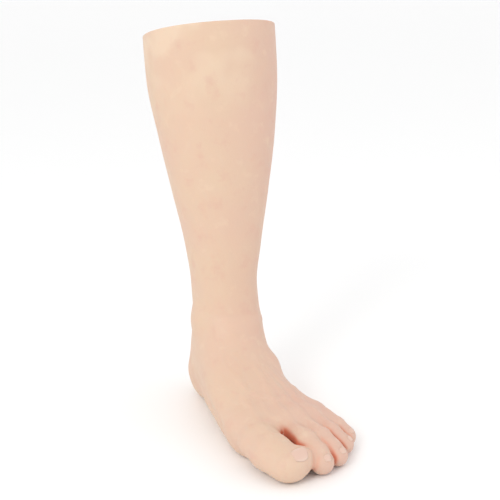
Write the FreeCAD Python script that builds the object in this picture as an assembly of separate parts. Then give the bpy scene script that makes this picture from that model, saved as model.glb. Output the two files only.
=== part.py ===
import FreeCAD, Part
import math
import os

from FreeCAD import Vector

# Left below-knee prosthetic leg with a skin-coloured cosmetic cover. Millimetres.
# +Z is up and z = 0 is the sole, -Y is towards the toes, -X is the medial side.

# ---- Driving dimensions -------------------------------------------------------------------
skin = 2.5              # silicone skin thickness
rim_height = 341.0      # rim above the floor, at the middle of the calf
rim_slope = 22.0 / 120  # the rim falls this much per mm towards the back
rim_y = 18.0            # where the rim height is measured

leg_y = 8.0             # the pylon's axis, straight above the ankle axle
axle_z = 60.0           # ankle axle above the floor
foot_top = 60.0         # the foot's skin ends here
cover_bottom = 80.0     # the shank's skin starts here, so the ankle skin between can bend
joint_gap = 0.3         # between the moving skin pieces

keel_bottom, keel_top = 14.0, 34.0
keel_front, keel_back, keel_half = -100.0, 46.0, 23.0

axle_radius, axle_over = 5.0, 3.0       # the axle stands this far past each ear
running_clearance = 0.03
bush_wall, bush_flange = 1.0, 0.7
block_half = 11.5       # half width of the rocker's bearing block
ear_thick, ear_rim, side_play = 6.0, 6.0, 0.3
bumper_radius, bumper_offset = 6.5, 17.0
yoke_thick = 6.0
wing_thick = 5.0
bumper_height = 14.0

face_radius, face_thick = 21.0, 6.0     # round seat that carries the lower pyramid
pyramid_height, pyramid_foot, pyramid_head = 14.0, 7.5, 10.0
dome_height, dome_radius = 3.0, 14.0

tube_radius, tube_wall = 15.0, 2.0
adapter_wall = 4.0
receiver_radius, receiver_bore = 21.5, 14.5
lug_low, lug_high, lug_half = 27.0, 42.0, 7.0   # clamp lug, measured from the pyramid's seat
lug_screw, lug_reach = 5.5, 10.0                # screw and end of the lug, outside the tube
lower_face = 79.0       # top of the round seat
upper_face = 197.0      # underside of the socket's four-hole plate
hole_spacing = 36.0     # four-hole pattern
plate_edge, plate_thick, plate_corner = 7.0, 5.0, 10.0
screw_radius, screw_head = 3.0, 6.0
set_screw_radius, set_screw_length = 4.0, 11.0
clamp_screw_radius = 2.5
thread_gap = 0.05

floor_thick, socket_wall = 10.0, 4.0
socket_bottom = upper_face + plate_thick
anchor_edge, anchor_depth, anchor_thick, anchor_corner = 5.0, 2.5, 4.0, 5.0
liner_gap, liner_wall = 0.4, 5.0
pad_thick = 8.0
brim_drop, foam_drop = 3.0, 1.0
foam_gap = 2.5          # foam bore to the metal parts

# ---- Outside shape: sections of the leg from calf to toes ---------------------------------
# A section's plane tilts from level in the calf (0) to upright in the forefoot (90 degrees).
# angle, centre x y z, half widths: medial, lateral, near (shin, instep), far (calf, sole),
# squareness of the far side, lean of the near side towards medial
FORM = [
    (0, 0, 18, max(rim_height + 51, 392), 58, 51, 55, 58, 2.2, 0),
    (0, 0, 18, 345, 60, 53, 55, 62, 2.2, 0),
    (0, 0, 18, 300, 58.5, 55, 51, 65, 2.2, 0),
    (0, 0, 16, 250, 51, 51, 46, 60, 2.2, 0),
    (0, 0, 14, 200, 42, 43, 41, 50, 2.2, 0),
    (0, 0, 12, 150, 33, 34, 37, 41, 1.95, 0),
    (0, 0, 10, 115, 30, 29.5, 35, 35, 1.85, 0),
    (10, 0, 8, 98, 30.5, 30.5, 34, 34, 1.8, 0),
    (20, 0, 7, 84, 32, 32, 36, 34, 1.75, 0),
    (30, 0, 15, 63, 30, 30.5, 50, 49, 1.8, 4),
    (38, 0, 11, 49, 30, 30.5, 57, 57.5, 2.4, 5),
    (46, 0, 0, 40, 31, 31.5, 53, 57, 2.8, 6),
    (54, 0, -15, 37, 34.5, 33.5, 44, 48, 3.0, 7),
    (62, 1, -28.5, 34, 36, 35, 36, 40, 3.2, 9),
    (70, 2, -40.5, 31.5, 38.5, 36, 31, 36, 3.2, 11),
    (80, 3, -55, 28.5, 40, 36.5, 27, 32, 3.2, 13),
    (90, 4, -70, 25, 41, 38, 24.5, 29, 3.2, 13),
    (90, 5, -90, 20, 42.5, 40.5, 21.5, 24, 3.2, 10),
    (90, 5, -108, 17, 41, 42, 17.5, 21, 3.2, 5),
    (90, 6, -118, 15, 34, 37, 13, 18, 2.8, 2),
    (90, 7, -123, 13, 24, 26, 8, 13, 2.2, 0),
]
# Toes as chains of joints (x, y, z, radius), and how much flatter than round each toe is
TOES = [
    (((-20, -106, 21, 17.5), (-21.5, -130, 19, 17), (-19, -148, 17, 17.5), (-12, -167, 13.8, 16.8)), 1.2),
    (((7, -116, 21, 9.5), (11.5, -147, 19.5, 10), (15, -160, 14.5, 9.6), (16.5, -167.5, 10, 9.8)), 1.0),
    (((19, -114, 21, 9.5), (26, -143, 18.5, 9.2), (31, -152, 12.5, 8.8), (33.7, -159, 8.9, 8.8)), 1.0),
    (((32, -106, 19, 9), (40, -132, 16, 8.7), (44.5, -139.5, 10.8, 8), (47.5, -142.5, 9, 8.1)), 1.0),
    (((42, -94, 15.5, 9.2), (51.5, -117, 13.5, 8.6), (54.8, -125, 9.8, 8), (56.3, -128.5, 8.5, 8)), 1.0),
]
ARCH_CENTRE, ARCH_RADII = Vector(-41, -36, -1), (21, 38, 13)

# Socket: height over its bottom, centre y, half widths: medial, lateral, front, back. It only
# widens upwards, so the liner can be drawn out.
SOCKET = [
    (0, 10, 34, 34, 31, 34),
    (12, 11, 37, 37, 33.5, 38),
    (26, 13.5, 40, 40, 37, 42),
    (48, 16, 43, 43, 40, 49),
    (98, 18, 50, 47, 45, 56),
    (143, 18, 54, 47.5, 48.5, 56.5),
    (max(rim_height + 34 - socket_bottom, 173), 18, 55, 48, 49, 57),
]


def superellipse(centre, across, along, halves, near_power, far_power, lean=0.0, count=32):
    """Ring of points: halves are the half widths towards -across, +across, -along and +along."""
    points = []
    for i in range(count):
        turn = 2 * math.pi * (i + 0.5) / count
        c, s = math.cos(turn), math.sin(turn)
        power = 2.0 / (far_power if s > 0 else near_power)
        u = math.copysign(abs(c) ** power, c) * (halves[1] if c > 0 else halves[0])
        v = math.copysign(abs(s) ** power, s) * (halves[3] if s > 0 else halves[2])
        u += lean * min(v, 0) / halves[2]
        points.append(centre + across * u + along * v)
    return points


def smooth_solid(rings):
    """Solid whose side is one smooth surface steered by rings of points, with flat ends."""
    count, rows = len(rings[0]), len(rings)
    surface = Part.BSplineSurface()
    surface.buildFromPolesMultsKnots([[ring[i] for ring in rings] for i in range(count)],
                                     [1] * (count + 1), [4] + [1] * (rows - 4) + [4],
                                     list(range(count + 1)), list(range(rows - 2)),
                                     True, False, 3, 3)
    side = surface.toShape()
    ends = [Part.Face(Part.Wire([e])) for e in side.Edges if e.isClosed() and not e.isSeam(side)]
    shell = Part.makeShell([side] + ends)
    shell.sewShape()
    return Part.makeSolid(shell)


def body_solid(inset):
    rings = []
    for angle, x, y, z, medial, lateral, near, far, power, lean in FORM:
        a = math.radians(angle)
        halves = [h - inset for h in (medial, lateral, near, far)]
        along = Vector(0, math.cos(a), -math.sin(a))
        rings.append(superellipse(Vector(x, y, z), Vector(1, 0, 0), along, halves, 2.2, power, lean))
    return smooth_solid(rings)


def toe_solid(chain, flatter, inset):
    """A bent, round-ended toe through its chain of joints."""
    at = [Vector(*j[:3]) for j in chain]
    radii = [j[3] - inset for j in chain]
    ways = [(b - a).normalize() for a, b in zip(at, at[1:])]
    last = ways[-1]
    rounds = [(at[0] - ways[0] * 10, ways[0], radii[0] - 5), (at[0], ways[0], radii[0])]
    for i in range(1, len(at) - 1):
        rounds.append((at[i], (ways[i - 1] + ways[i]).normalize(), radii[i]))
    rounds.append((at[-1], last, radii[-1]))
    for part in (0.5, 0.8, 0.97, 1.0):
        rounds.append((at[-1] + last * (radii[-1] * part), last,
                       radii[-1] * math.sqrt(1.02 - part ** 2)))
    rings = []
    for centre, way, r in rounds:
        across = way.cross(Vector(0, 0, 1)).normalize()
        rings.append(superellipse(centre, across, way.cross(across),
                                  [r, r, r / flatter, r / flatter], 2, 2, count=16))
    return smooth_solid(rings)


def ellipsoid(centre, radii):
    scale = FreeCAD.Matrix()
    scale.scale(Vector(*radii))
    ball = Part.makeSphere(1.0).transformGeometry(scale)
    ball.translate(centre)
    return ball


def slab(z_low, z_high, half=400.0):
    return Part.makeBox(2 * half, 2 * half, z_high - z_low, Vector(-half, -half, z_low))


def above_rim(drop=0.0):
    """Everything above the sloping rim, or above a parallel plane a little lower."""
    block = slab(0, 400)
    tilt = -math.degrees(math.atan(rim_slope))
    block.rotate(Vector(0, 0, 0), Vector(1, 0, 0), tilt)
    block.translate(Vector(0, rim_y, rim_height - drop))
    return block


def leg_form(inset):
    """The whole outside shape, or the same shape that much smaller, left open above."""
    form = body_solid(inset).fuse([toe_solid(chain, flatter, inset) for chain, flatter in TOES])
    form = form.cut(slab(-60, inset))
    return form.cut(ellipsoid(ARCH_CENTRE, [r + inset for r in ARCH_RADII]))


def cup(inset, floor):
    """The socket's outside shape made smaller all round, with a flat floor."""
    rings = [superellipse(Vector(0, y, socket_bottom + z), Vector(1, 0, 0), Vector(0, 1, 0),
                          [h - inset for h in halves], 2.2, 2.2)
             for z, y, *halves in SOCKET]
    solid = smooth_solid(rings)
    return solid.cut(slab(0, floor)) if floor > socket_bottom else solid


def cylinder(radius, z_low, z_high, x=0.0, y=leg_y):
    return Part.makeCylinder(radius, z_high - z_low, Vector(x, y, z_low))


def cross_cylinder(radius, x_low, x_high, y, z):
    return Part.makeCylinder(radius, x_high - x_low, Vector(x_low, y, z), Vector(1, 0, 0))


def block(half_x, y_low, y_high, z_low, z_high):
    return Part.makeBox(2 * half_x, y_high - y_low, z_high - z_low, Vector(-half_x, y_low, z_low))


def hex_socket(across_flats, depth, at, way):
    """Cutting tool for a hexagon key, starting at the point and going the way given."""
    radius = across_flats / math.sqrt(3)
    corners = [Vector(radius * math.cos(math.radians(60 * i)), radius * math.sin(math.radians(60 * i)), 0)
               for i in range(7)]
    prism = Part.Face(Part.makePolygon(corners)).extrude(Vector(0, 0, depth))
    prism.Placement = FreeCAD.Placement(at, FreeCAD.Rotation(Vector(0, 0, 1), way))
    return prism


def pyramid(face_z, up):
    """Domed seat and four-sided pyramid that widens away from the seat."""
    z = [face_z + up * h for h in (0, dome_height, dome_height + pyramid_height)]
    dome = Part.makeCone(dome_radius, pyramid_foot * 1.25, dome_height, Vector(0, leg_y, z[0]), Vector(0, 0, up))
    squares = []
    for level, half in ((z[1], pyramid_foot), (z[2], pyramid_head)):
        corners = [Vector(sx * half, leg_y + sy * half, level)
                   for sx, sy in ((-1, -1), (1, -1), (1, 1), (-1, 1), (-1, -1))]
        squares.append(Part.makePolygon(corners))
    return dome.fuse(Part.makeLoft(squares, True, True)).removeSplitter()


def tube_adapter(face_z, up):
    """Tube clamp with a pyramid receiver: returns adapter, set screws, clamp screw, tube seat."""
    def level(h):
        return face_z + up * h

    def ring(radius, h_low, h_high):
        return cylinder(radius, *sorted((level(h_low), level(h_high))))

    receiver_end, seat, clamp_end = 18.0, 20.0, 46.0
    slit = 1.25
    adapter_radius = tube_radius + adapter_wall
    receiver = ring(receiver_radius, 1.5, receiver_end)
    neck = Part.makeCone(receiver_radius, adapter_radius, 4, Vector(0, leg_y, level(receiver_end)),
                         Vector(0, 0, up))
    lug = block(lug_half, leg_y + tube_radius - 5, leg_y + tube_radius + lug_reach,
                *sorted((level(lug_low), level(lug_high))))
    adapter = receiver.fuse([neck, ring(adapter_radius, receiver_end, clamp_end), lug])
    adapter = adapter.cut([ring(receiver_bore, 1.5, receiver_end), ring(9.0, receiver_end, seat),
                           ring(tube_radius, seat, clamp_end),
                           block(slit, leg_y, leg_y + 50, *sorted((level(seat + 2), level(clamp_end + 1))))])

    # Set screws stand square on the pyramid's four faces.
    slope = math.atan((pyramid_head - pyramid_foot) / pyramid_height)
    mid_half = (pyramid_head + pyramid_foot) / 2
    mid = dome_height + pyramid_height / 2
    screws = []
    for quarter in range(4):
        a = math.radians(90 * quarter)
        out = Vector(math.cos(a) * math.cos(slope), math.sin(a) * math.cos(slope), -up * math.sin(slope))
        foot = Vector(mid_half * math.cos(a), leg_y + mid_half * math.sin(a), level(mid))
        adapter = adapter.cut(Part.makeCylinder(set_screw_radius + thread_gap, 30, foot, out))
        point = Part.makeCone(2.0, set_screw_radius, 2.0, foot, out)
        shank = Part.makeCylinder(set_screw_radius, set_screw_length - 2, foot + out * 2, out)
        end = foot + out * set_screw_length
        screws.append(point.fuse(shank).cut(hex_socket(4, 4, end, out * -1)))

    screw_y, screw_z = leg_y + tube_radius + lug_screw, level((lug_low + lug_high) / 2)
    adapter = adapter.cut([cross_cylinder(clamp_screw_radius + thread_gap, -20, 20, screw_y, screw_z),
                           cross_cylinder(4.6, lug_half, 20, screw_y, screw_z),
                           cross_cylinder(4.6, -20, -lug_half, screw_y, screw_z)])
    clamp = cross_cylinder(clamp_screw_radius, -lug_half - 4, lug_half, screw_y, screw_z)
    clamp = clamp.fuse(cross_cylinder(4.25, lug_half, lug_half + 5, screw_y, screw_z))
    clamp = clamp.fuse(cross_cylinder(4.0, -lug_half - 4, -lug_half, screw_y, screw_z))
    key = hex_socket(4, 2.5, Vector(lug_half + 5, screw_y, screw_z), Vector(-1, 0, 0))
    return adapter.removeSplitter(), Part.makeCompound(screws), clamp.cut(key), level(seat)


parts = {}

# ---- Silicone skin, foam cover and foot moulding -------------------------------------------
outside, inside = leg_form(0.0), leg_form(skin)
shell = outside.cut(inside).cut(above_rim())
parts["skin_foot"] = shell.common(slab(-1, foot_top))
parts["skin_ankle"] = shell.common(slab(foot_top + joint_gap, cover_bottom))
parts["skin_shank"] = shell.common(slab(cover_bottom, 400))

# ---- Ankle: yoke on the keel, rocker on the axle, two rubber bumpers -------------------------
ear_inner = block_half + bush_flange + side_play
ear_outer = ear_inner + ear_thick
base_top = keel_top + yoke_thick
ear_half = axle_radius + ear_rim
bush_radius = axle_radius + running_clearance + bush_wall
wing_low = base_top + bumper_height
unit_half = bumper_offset + bumper_radius + 1.0
pocket_gap = 2.0

yoke = block(ear_outer, leg_y - unit_half, leg_y + unit_half, keel_top, base_top)
for side in (-1, 1):
    ear = Part.makeBox(ear_thick, 2 * ear_half, axle_z - keel_top,
                       Vector(min(side * ear_inner, side * ear_outer), leg_y - ear_half, keel_top))
    ear = ear.fuse(cross_cylinder(ear_half, *sorted((side * ear_inner, side * ear_outer)), leg_y, axle_z))
    yoke = yoke.fuse(ear)
bolt_radius, boss_radius, boss_bottom = 5.0, 9.0, 26.0
yoke = yoke.fuse(cylinder(boss_radius, boss_bottom, keel_top)).removeSplitter()
yoke = yoke.cut(cylinder(bolt_radius + thread_gap, 0, base_top + 1))
parts["ankle_yoke"] = yoke.cut(cross_cylinder(axle_radius, -30, 30, leg_y, axle_z))

groove, clip_radius, clip_thick, clip_at = axle_radius - 0.7, axle_radius + 2.5, 1.2, ear_outer + 0.1
axle_half = ear_outer + axle_over
axle = cross_cylinder(axle_radius, -axle_half, axle_half, leg_y, axle_z)
clips = []
for side in (-1, 1):
    ends = sorted((side * clip_at, side * (clip_at + clip_thick)))
    ring = cross_cylinder(clip_radius, *ends, leg_y, axle_z).cut(cross_cylinder(groove, *ends, leg_y, axle_z))
    mouth = Part.makeBox(clip_thick, 3.6, 10, Vector(ends[0], leg_y - 1.8, axle_z - 10))
    clips.append(ring.cut(mouth))
    axle = axle.cut(cross_cylinder(axle_radius + 1, *ends, leg_y, axle_z)
                    .cut(cross_cylinder(groove, *ends, leg_y, axle_z)))
parts["ankle_axle"] = axle
parts["axle_clips"] = Part.makeCompound(clips)

block_radius = bush_radius + 3.5
rocker = cross_cylinder(block_radius, -block_half, block_half, leg_y, axle_z)
rocker = rocker.fuse([
    block(block_half, leg_y - 8.5, leg_y + 8.5, axle_z, lower_face - face_thick),
    block(block_half - 1.5, leg_y - unit_half + 0.5, leg_y + unit_half - 0.5, wing_low, wing_low + wing_thick),
    cylinder(face_radius, lower_face - face_thick, lower_face)])
rocker = rocker.cut(cross_cylinder(bush_radius, -30, 30, leg_y, axle_z)).removeSplitter()
parts["ankle_rocker"] = rocker.fuse(pyramid(lower_face, 1)).removeSplitter()

bushes = []
for side in (-1, 1):
    sleeve = cross_cylinder(bush_radius, *sorted((side * 0.5, side * block_half)), leg_y, axle_z)
    flange = cross_cylinder(axle_radius + 3, *sorted((side * block_half, side * (block_half + bush_flange))), leg_y, axle_z)
    bushes.append(sleeve.fuse(flange)
                  .cut(cross_cylinder(axle_radius + running_clearance, -30, 30, leg_y, axle_z)))
parts["ankle_bushes"] = Part.makeCompound(bushes)

for name, side in (("front_bumper", -1), ("rear_bumper", 1)):
    pad = cylinder(bumper_radius, base_top, wing_low, 0, leg_y + side * bumper_offset)
    parts[name] = pad.makeFillet(1.2, pad.Edges[:1] + pad.Edges[2:3])

# ---- Keel and the bolt that holds the yoke to it --------------------------------------------
profile = [(keel_back, keel_bottom + 3), (keel_back, keel_top - 4), (keel_back - 6, keel_top),
           (-38, keel_top), (-62, 24), (keel_front, 19.5), (keel_front, 13.5), (-62, keel_bottom),
           (keel_back - 6, keel_bottom)]
side_view = Part.makePolygon([Vector(-60, y, z) for y, z in profile + profile[:1]])
keel = Part.Face(side_view).extrude(Vector(120, 0, 0))
plan = Part.makePolygon([Vector(x, y, 0) for x, y in
                         ((-15, keel_back), (15, keel_back), (keel_half - 2, 24), (keel_half - 2, -20),
                          (31, keel_front + 12), (24, keel_front), (-20, keel_front),
                          (-27, keel_front + 12), (-keel_half + 2, -20), (-keel_half + 2, 24),
                          (-15, keel_back))])
keel = keel.common(Part.Face(plan).extrude(Vector(0, 0, 60)))
washer_radius, washer_thick, washer_z = 10.5, 2.0, 22.0
access_radius = washer_radius + 1.0
keel = keel.cut([cylinder(access_radius, 0, washer_z + washer_thick), cylinder(bolt_radius + 0.4, 0, 60),
                 cylinder(boss_radius, boss_bottom, 60)])
parts["keel"] = keel
parts["foot_bolt_washer"] = cylinder(washer_radius, washer_z, washer_z + washer_thick).cut(
    cylinder(bolt_radius + 0.4, 0, 60))
bolt = cylinder(8.0, washer_z - 7, washer_z).fuse(cylinder(bolt_radius, washer_z, base_top + 3))
parts["foot_bolt"] = bolt.removeSplitter().cut(
    hex_socket(8, 5, Vector(0, leg_y, washer_z - 7), Vector(0, 0, 1)))

cap_thick = 3.0
core_top = foot_top - 1.0 - cap_thick
pocket_ends = (leg_y - unit_half - pocket_gap, leg_y + unit_half + pocket_gap)
pocket = block(axle_half + 0.8, leg_y - ear_half - pocket_gap, leg_y + ear_half + pocket_gap, keel_top, 90)
pocket = pocket.fuse([block(ear_outer + pocket_gap, *pocket_ends, keel_top, base_top + 1),
                      block(block_half + pocket_gap, *pocket_ends, base_top, 90)])
filling = inside.common(slab(-5, foot_top - 1.0)).cut(pocket)
bolt_space = [cylinder(access_radius, 0, keel_bottom + 1), keel.copy()]
for tool in (cylinder(access_radius, keel_bottom, washer_z + washer_thick),
             cylinder(boss_radius, washer_z, keel_top)):
    bolt_space.append(tool)
parts["foot_core"] = filling.common(slab(-5, core_top)).cut(bolt_space)
parts["foot_cap"] = filling.common(slab(core_top, foot_top))

# ---- Pylon: two tube adapters with their screws, and the tube -------------------------------
seats = []
for name, face_z, up in (("lower", lower_face, 1), ("upper", upper_face, -1)):
    adapter, set_screws, clamp_screw, seat_z = tube_adapter(face_z, up)
    parts[name + "_tube_adapter"] = adapter
    parts[name + "_set_screws"] = set_screws
    parts[name + "_clamp_screw"] = clamp_screw
    seats.append(seat_z)
parts["pylon_tube"] = cylinder(tube_radius, *seats).cut(cylinder(tube_radius - tube_wall, *seats))

# ---- Socket, its plate, anchor and screws ---------------------------------------------------
def rounded_plate(half, z, thick, corner):
    plate = block(half, leg_y - half, leg_y + half, z, z + thick)
    return plate.makeFillet(corner, [e for e in plate.Edges
                                     if abs(e.tangentAt(e.FirstParameter).z) > 0.9])


plate = rounded_plate(hole_spacing / 2 + plate_edge, upper_face, plate_thick, plate_corner)
plate_hollow = plate.copy()
anchor_z = socket_bottom + anchor_depth
anchor = rounded_plate(hole_spacing / 2 + anchor_edge, anchor_z, anchor_thick, anchor_corner)
socket_cuts, screws = [anchor.copy()], []
for sx in (-1, 1):
    for sy in (-1, 1):
        x, y = sx * hole_spacing / 2, leg_y + sy * hole_spacing / 2
        head = Part.makeCone(screw_head, screw_radius, 3.3, Vector(x, y, upper_face))
        plate = plate.cut([head, cylinder(screw_radius + 0.2, upper_face, upper_face + plate_thick, x, y)])
        socket_cuts.append(cylinder(screw_radius + 0.2, socket_bottom, anchor_z, x, y))
        anchor = anchor.cut(cylinder(screw_radius + thread_gap, 0, 300, x, y))
        screw = head.fuse(cylinder(screw_radius, upper_face + 3.3, anchor_z + anchor_thick, x, y))
        screws.append(screw.cut(hex_socket(4, 2.5, Vector(x, y, upper_face), Vector(0, 0, 1))))
parts["socket_pyramid"] = plate.fuse(pyramid(upper_face, -1)).removeSplitter()
parts["socket_anchor"] = anchor
parts["socket_screws"] = Part.makeCompound(screws)
socket_solid = cup(0.0, socket_bottom)
socket_floor = socket_bottom + floor_thick
parts["socket"] = socket_solid.cut([cup(socket_wall, socket_floor), above_rim(brim_drop)] + socket_cuts)

# ---- Soft liner with its end pad -------------------------------------------------------------
liner_inset = socket_wall + liner_gap
pad_low = socket_floor + liner_gap
pad_high = pad_low + pad_thick
liner_space = cup(liner_inset, pad_low)
parts["distal_pad"] = liner_space.common(slab(0, pad_high))
parts["liner"] = liner_space.cut([slab(0, pad_high), cup(liner_inset + liner_wall, pad_high + liner_wall),
                                  above_rim(brim_drop)])

# ---- Foam cover round the pylon and socket ---------------------------------------------------
foam = inside.cut([slab(-60, cover_bottom + 2), above_rim(foam_drop), socket_solid])
foam = foam.cut(cylinder(receiver_radius + foam_gap, cover_bottom, upper_face))
foam = foam.cut(plate_hollow)
lug_room = 2.0
for face_z, up in ((lower_face, 1), (upper_face, -1)):
    ends = sorted((face_z + up * (lug_low - lug_room), face_z + up * (lug_high + lug_room)))
    foam = foam.cut(block(2 * lug_half + 1, leg_y, leg_y + tube_radius + lug_reach + 3, *ends))
parts["foam_cover"] = foam

os.makedirs("parts", exist_ok=True)
for node, shape in parts.items():
    shape.exportStep("parts/" + node + ".step")
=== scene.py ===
import math
import bmesh
import bpy
import numpy as np
from mathutils import Matrix, Vector


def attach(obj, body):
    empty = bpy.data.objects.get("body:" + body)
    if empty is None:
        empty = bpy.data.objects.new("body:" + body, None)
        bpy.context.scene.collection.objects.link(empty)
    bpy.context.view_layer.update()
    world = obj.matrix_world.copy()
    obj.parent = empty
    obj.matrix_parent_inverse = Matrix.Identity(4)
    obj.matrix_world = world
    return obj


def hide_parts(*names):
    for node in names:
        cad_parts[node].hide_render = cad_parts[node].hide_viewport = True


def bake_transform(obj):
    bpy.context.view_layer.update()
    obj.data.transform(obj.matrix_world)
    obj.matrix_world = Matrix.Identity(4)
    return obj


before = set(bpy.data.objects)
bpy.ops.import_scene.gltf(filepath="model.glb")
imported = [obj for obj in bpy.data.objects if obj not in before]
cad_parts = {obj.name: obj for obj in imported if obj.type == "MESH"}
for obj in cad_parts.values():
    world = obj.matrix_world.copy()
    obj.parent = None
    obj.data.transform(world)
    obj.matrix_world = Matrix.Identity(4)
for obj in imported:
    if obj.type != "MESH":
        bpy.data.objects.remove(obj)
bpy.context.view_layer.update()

# ---- Silicone skin -----------------------------------------------------------------------
# One seamless shell from the rim to the toes, 2.5 mm thick. Its outside is a smooth distance
# field in millimetres, blended from leg, foot, heel and toe shapes, then turned into a mesh.

# height, centre y, then half widths: medial, lateral, front, back
LEG = [(40, 4, 27.5, 29, 38, 42), (62, 4, 28.7, 30, 41, 41), (80, 6, 30.5, 29.6, 41, 37),
       (95, 8, 30, 28.3, 36, 34.5), (115, 10, 30, 27.8, 35, 35), (150, 12, 33, 33.4, 37, 41),
       (200, 14, 42, 43, 41, 50), (250, 16, 51, 51, 46, 60), (300, 18, 58.5, 55, 51, 65),
       (345, 18, 60, 53, 55, 62), (400, 18, 58, 51, 55, 58)]
# y, centre x and z, then half widths: medial, lateral, below, above, and the instep's lean
FOOT = [(-150, 5, 13, 32, 43, 15, 7, 0), (-130, 5, 15, 40, 45, 18, 12, 2),
        (-112, 5, 17, 43, 43.5, 20, 17, 5), (-90, 5, 20, 43.5, 42, 23, 22, 10),
        (-60, 4, 24, 41.5, 37, 27, 32, 14), (-30, 2, 28, 37.5, 34, 30, 47, 12),
        (0, 1, 32, 32.5, 30, 33, 52, 8), (30, 0, 32, 29, 28, 34, 50, 0)]
# toes as chains of joints: x, y, z and radius, then how much flatter than round the toe is
TOES = [([(-20, -106, 21, 17.5), (-21.5, -130, 19, 17), (-19, -148, 17, 17.5), (-12, -167, 13.8, 16.8)], 1.2),
        ([(7, -116, 21, 9.5), (11.5, -147, 19.5, 10), (15, -160, 14.5, 9.6), (16.5, -167.5, 10, 9.8)], 1.0),
        ([(19, -114, 21, 9.5), (26, -143, 18.5, 9.2), (31, -152, 12.5, 8.8), (33.7, -159, 8.9, 8.8)], 1.0),
        ([(32, -106, 19, 9), (40, -132, 16, 8.7), (44.5, -139.5, 10.8, 8), (47.5, -142.5, 9, 8.1)], 1.0),
        ([(42, -94, 15.5, 9.2), (51.5, -117, 13.5, 8.6), (54.8, -125, 9.8, 8), (56.3, -128.5, 8.5, 8)], 1.0)]
# tendons and their heights: plan points the ridge passes over, half width, height
TENDONS = [([(-4, -26), (-12, -50), (-19, -90), (-21, -128), (-19, -148)], 3.6, 1.3),
           ([(3, -30), (3, -60), (4, -100), (9, -142)], 3.0, 1.2),
           ([(5, -30), (10, -60), (16, -98), (25, -138)], 3.0, 1.2),
           ([(7, -30), (16, -58), (27, -92), (39, -127)], 3.0, 1.1),
           ([(9, -30), (22, -56), (37, -84), (51, -112)], 3.0, 0.9)]
# the leg's own form stops below LEG_LOW and the foot's behind FOOT_END, where the heel pad takes over
LEG_LOW, FOOT_END, SOLE = 34, 28, 0.3
HEEL_PAD = ((-1.5, 31, 24), (29, 30, 28))
# bumps (1) and hollows (-1) in the order they are shaped: centre, radii, fillet
FORMS = [(1, (-26, 2, 85), (8, 12, 13), 10),           # medial ankle bone
         (1, (27.6, 10, 75), (7.2, 9, 9), 6),          # lateral ankle bone
         (1, (22, -32, 44), (11, 15, 12), 10),         # muscle in front of it
         (1, (43.5, -88, 14), (11, 14, 11), 8),        # base of the small toe
         (-1, (-30, 46, 98), (11, 12, 42), 12),        # beside the heel tendon, medial
         (-1, (31.25, 46, 98), (11, 12, 42), 12),      # beside the heel tendon, lateral
         (-1, (-42, -36, -2), (20, 36, 12), 8),        # arch
         (1, (-1, -167.5, 16), (9.5, 9.5, 10.5), 5),   # big toe's pad, lateral
         (-1, (-0.6, -139, 26), (2.6, 11, 15), 3)]     # cleft beside the big toe


def join(a, b, k):
    """Union of two distances, with a fillet of about k."""
    h = np.clip(0.5 + 0.5 * (b - a) / k, 0, 1)
    return b * (1 - h) + a * h - k * h * (1 - h)


def carve(a, b, k):
    """What is in both distances, with its edge rounded by about k."""
    return -join(-a, -b, k)


def along(table, u):
    """Smoothly interpolated columns of a table at stations u."""
    rows = np.array(sorted(table), float)
    x, cols = rows[:, 0], rows[:, 1:]
    step = np.diff(x)[:, None]
    slope = np.diff(cols, axis=0) / step
    m = np.zeros_like(cols)
    both = slope[:-1] * slope[1:] > 0
    total = slope[:-1] + slope[1:]
    m[1:-1] = np.where(both, 2 * slope[:-1] * slope[1:] / np.where(both, total, 1), 0)
    m[0], m[-1] = slope[0], slope[-1]
    u = np.clip(u, x[0], x[-1])
    i = np.clip(np.searchsorted(x, u) - 1, 0, len(x) - 2)
    t = ((u - x[i]) / (x[i + 1] - x[i]))[..., None]
    h = (x[i + 1] - x[i])[..., None]
    out = ((2 * t ** 3 - 3 * t ** 2 + 1) * cols[i] + (t ** 3 - 2 * t ** 2 + t) * h * m[i]
           + (3 * t ** 2 - 2 * t ** 3) * cols[i + 1] + (t ** 3 - t ** 2) * h * m[i + 1])
    return np.moveaxis(out, -1, 0)


def oval(s, t, s_neg, s_pos, t_neg, t_pos, n_neg, n_pos):
    """Distance to a four-quarter oval: a half width each way, squarer as its power rises."""
    a, b = np.where(s > 0, s_pos, s_neg), np.where(t > 0, t_pos, t_neg)
    n = np.where(t > 0, n_pos, n_neg)
    q = (np.abs(s / a) ** n + np.abs(t / b) ** n) ** (1 / n)
    return np.hypot(s, t) * (1 - 1 / np.maximum(q, 1e-6))


def egg(p, centre, radii):
    """Distance to an ellipsoid."""
    q = [(p[i] - centre[i]) / radii[i] for i in range(3)]
    k = np.sqrt(sum(v * v for v in q))
    return k * (k - 1) / np.maximum(np.sqrt(sum((v / r) ** 2 for v, r in zip(q, radii))), 1e-9)


def rod(p, a, b, ra, rb):
    """Round-ended cone from a to b."""
    d = [b[i] - a[i] for i in range(3)]
    t = np.clip(sum((p[i] - a[i]) * d[i] for i in range(3)) / sum(v * v for v in d), 0, 1)
    return np.sqrt(sum((p[i] - a[i] - t * d[i]) ** 2 for i in range(3))) - (ra + (rb - ra) * t)


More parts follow.
